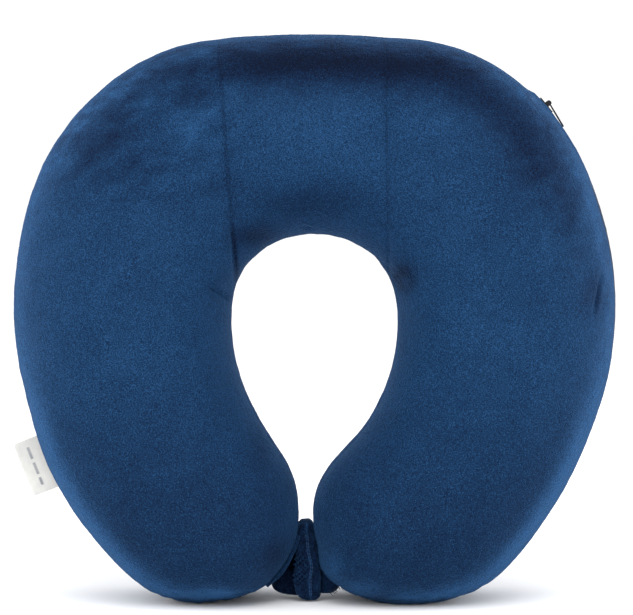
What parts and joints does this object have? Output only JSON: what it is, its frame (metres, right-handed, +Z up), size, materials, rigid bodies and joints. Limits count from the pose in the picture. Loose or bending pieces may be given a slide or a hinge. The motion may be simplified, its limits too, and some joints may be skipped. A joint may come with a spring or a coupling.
{
  "type": "u shaped neck pillow",
  "caption": "U shaped travel neck pillow in navy plush over memory foam, with flexing arms, a zip in the rim, a side label and a press stud closure between the arm tips.",
  "frame": {"origin": "on the floor, midway between the two arm ends and midway between front and back", "axes": "+Z up from the arm ends to the nape; +X across the pillow, towards the arm with the zip; the front face looks towards -Y"},
  "size_m": [0.3005, 0.104, 0.2825],
  "materials": {
    "plush": "short pile velour, navy",
    "foam": "open cell memory foam",
    "liner": "thin white knit",
    "tape": "woven zip tape, navy",
    "coil": "moulded nylon coil, navy",
    "metal": "gloss enamel on zinc, dark navy",
    "label": "off-white woven satin",
    "stud": "satin moulded resin, navy"
  },
  "bodies": {
    "left_side": {"foam_core_left": "foam", "foam_core_nape": "foam", "inner_liner_left": "liner", "inner_liner_nape": "liner", "cover_front_left": "plush", "cover_front_nape": "plush", "cover_back_left": "plush", "cover_back_nape": "plush", "side_label": "label", "closure_tab_left": "plush", "press_stud": "stud", "press_stud_cap": "stud"},
    "right_arm": {"foam_core_right": "foam", "inner_liner_right": "liner", "cover_front_right": "plush", "cover_back_right": "plush", "zip_tape_front": "tape", "zip_tape_back": "tape", "zip_coil_front": "coil", "zip_coil_back": "coil", "zip_top_stops": "metal", "zip_bottom_stop": "metal", "closure_tab_right": "plush", "press_socket": "stud", "press_socket_cap": "stud"},
    "zip_slider": {"zip_slider": "metal"},
    "zip_puller": {"zip_puller": "metal"}
  },
  "joints": [
    {"name": "nape_flex", "type": "hinge", "parent": "left_side", "child": "right_arm", "pos_m": [-0.0062, 0, 0.284], "axis": [0, -1, 0], "range_deg": [0, 20], "stiffness_Nm_per_rad": 4},
    {"name": "zip_slide", "type": "hinge", "parent": "right_arm", "child": "zip_slider", "pos_m": [-0.0095, 0, 0.1468], "axis": [0, 1, 0], "range_deg": [0, 59]},
    {"name": "puller_swing", "type": "hinge", "parent": "zip_slider", "child": "zip_puller", "pos_m": [0.11686, 0, 0.24913], "axis": [0, -1, 0], "range_deg": [0, 170]}
  ]
}
